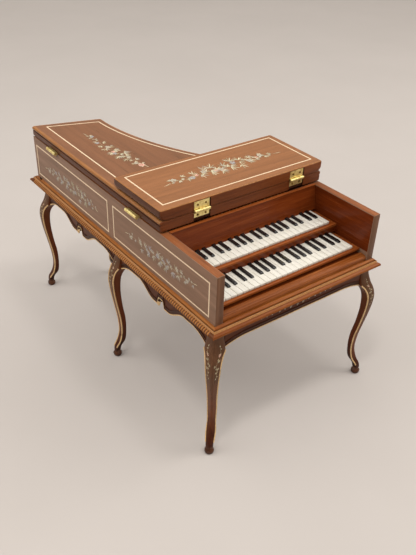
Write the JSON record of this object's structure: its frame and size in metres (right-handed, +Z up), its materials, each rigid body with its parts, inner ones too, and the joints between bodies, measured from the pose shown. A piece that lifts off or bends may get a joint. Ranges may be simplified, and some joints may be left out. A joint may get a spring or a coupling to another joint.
{
  "type": "miniature harpsichord",
  "caption": "Wing-shaped dolls' house keyboard instrument with two manuals, hinged lid with folding keyboard flap, and a scalloped stand on cabriole legs.",
  "frame": {"origin": "middle of the footprint, on the surface that the feet stand on", "axes": "+Z up, -Y towards the player (keyboard end), +X towards the treble side (bentside), +Y towards the tail"},
  "size_m": [0.0848, 0.1476, 0.089],
  "materials": {
    "top_wood": "satin",
    "side_wood": "satin",
    "moulding_wood": "satin",
    "leg_wood": "satin",
    "inner_wood": "satin",
    "soundboard_wood": "matte",
    "natural_key": "satin",
    "sharp_key": "gloss",
    "brass": "polished"
  },
  "bodies": {
    "case": {"stand_frame_front": "moulding_wood", "stand_frame_cheek": "moulding_wood", "stand_frame_bentside": "moulding_wood", "stand_frame_tail": "moulding_wood", "stand_frame_spine": "moulding_wood", "leg_front_left": "leg_wood", "leg_front_right": "leg_wood", "leg_spine_mid": "leg_wood", "leg_bentside_mid": "leg_wood", "leg_tail_left": "leg_wood", "leg_tail_right": "leg_wood", "apron_front": "leg_wood", "apron_cheek": "leg_wood", "apron_spine_rear": "leg_wood", "apron_spine_front": "leg_wood", "apron_tail": "leg_wood", "apron_bentside_front": "leg_wood", "apron_bentside_rear": "leg_wood", "case_spine": "side_wood", "case_cheek": "side_wood", "case_bentside": "side_wood", "case_tail": "side_wood", "case_bottom": "inner_wood", "front_sill": "moulding_wood", "key_frame": "inner_wood", "lower_key_bed": "moulding_wood", "lower_naturals": "natural_key", "lower_sharps": "sharp_key", "upper_manual_fascia": "inner_wood", "upper_key_bed": "moulding_wood", "upper_naturals": "natural_key", "upper_sharps": "sharp_key", "nameboard": "inner_wood", "wrestplank": "inner_wood", "nut": "inner_wood", "jack_rail": "top_wood", "belly_rail": "inner_wood", "soundboard": "soundboard_wood", "bridge": "inner_wood", "spine_hinge_front_case_leaf": "brass", "spine_hinge_front_pin": "brass", "spine_hinge_rear_case_leaf": "brass", "spine_hinge_rear_pin": "brass"},
    "lid": {"lid": "top_wood", "spine_hinge_front_lid_leaf": "brass", "spine_hinge_rear_lid_leaf": "brass", "flap_hinge_left_lid_leaf": "brass", "flap_hinge_left_pin": "brass", "flap_hinge_right_lid_leaf": "brass", "flap_hinge_right_pin": "brass"},
    "flap": {"flap": "top_wood", "flap_hinge_left_flap_leaf": "brass", "flap_hinge_right_flap_leaf": "brass"}
  },
  "joints": [
    {"name": "lid_hinge", "type": "hinge", "parent": "case", "child": "lid", "pos_m": [-0.0401, 0.01513, 0.08], "axis": [0, -1, 0], "range_deg": [0, 100]},
    {"name": "flap_hinge", "type": "hinge", "parent": "lid", "child": "flap", "pos_m": [0, -0.03767, 0.0847], "axis": [1, 0, 0], "range_deg": [0, 180]}
  ]
}
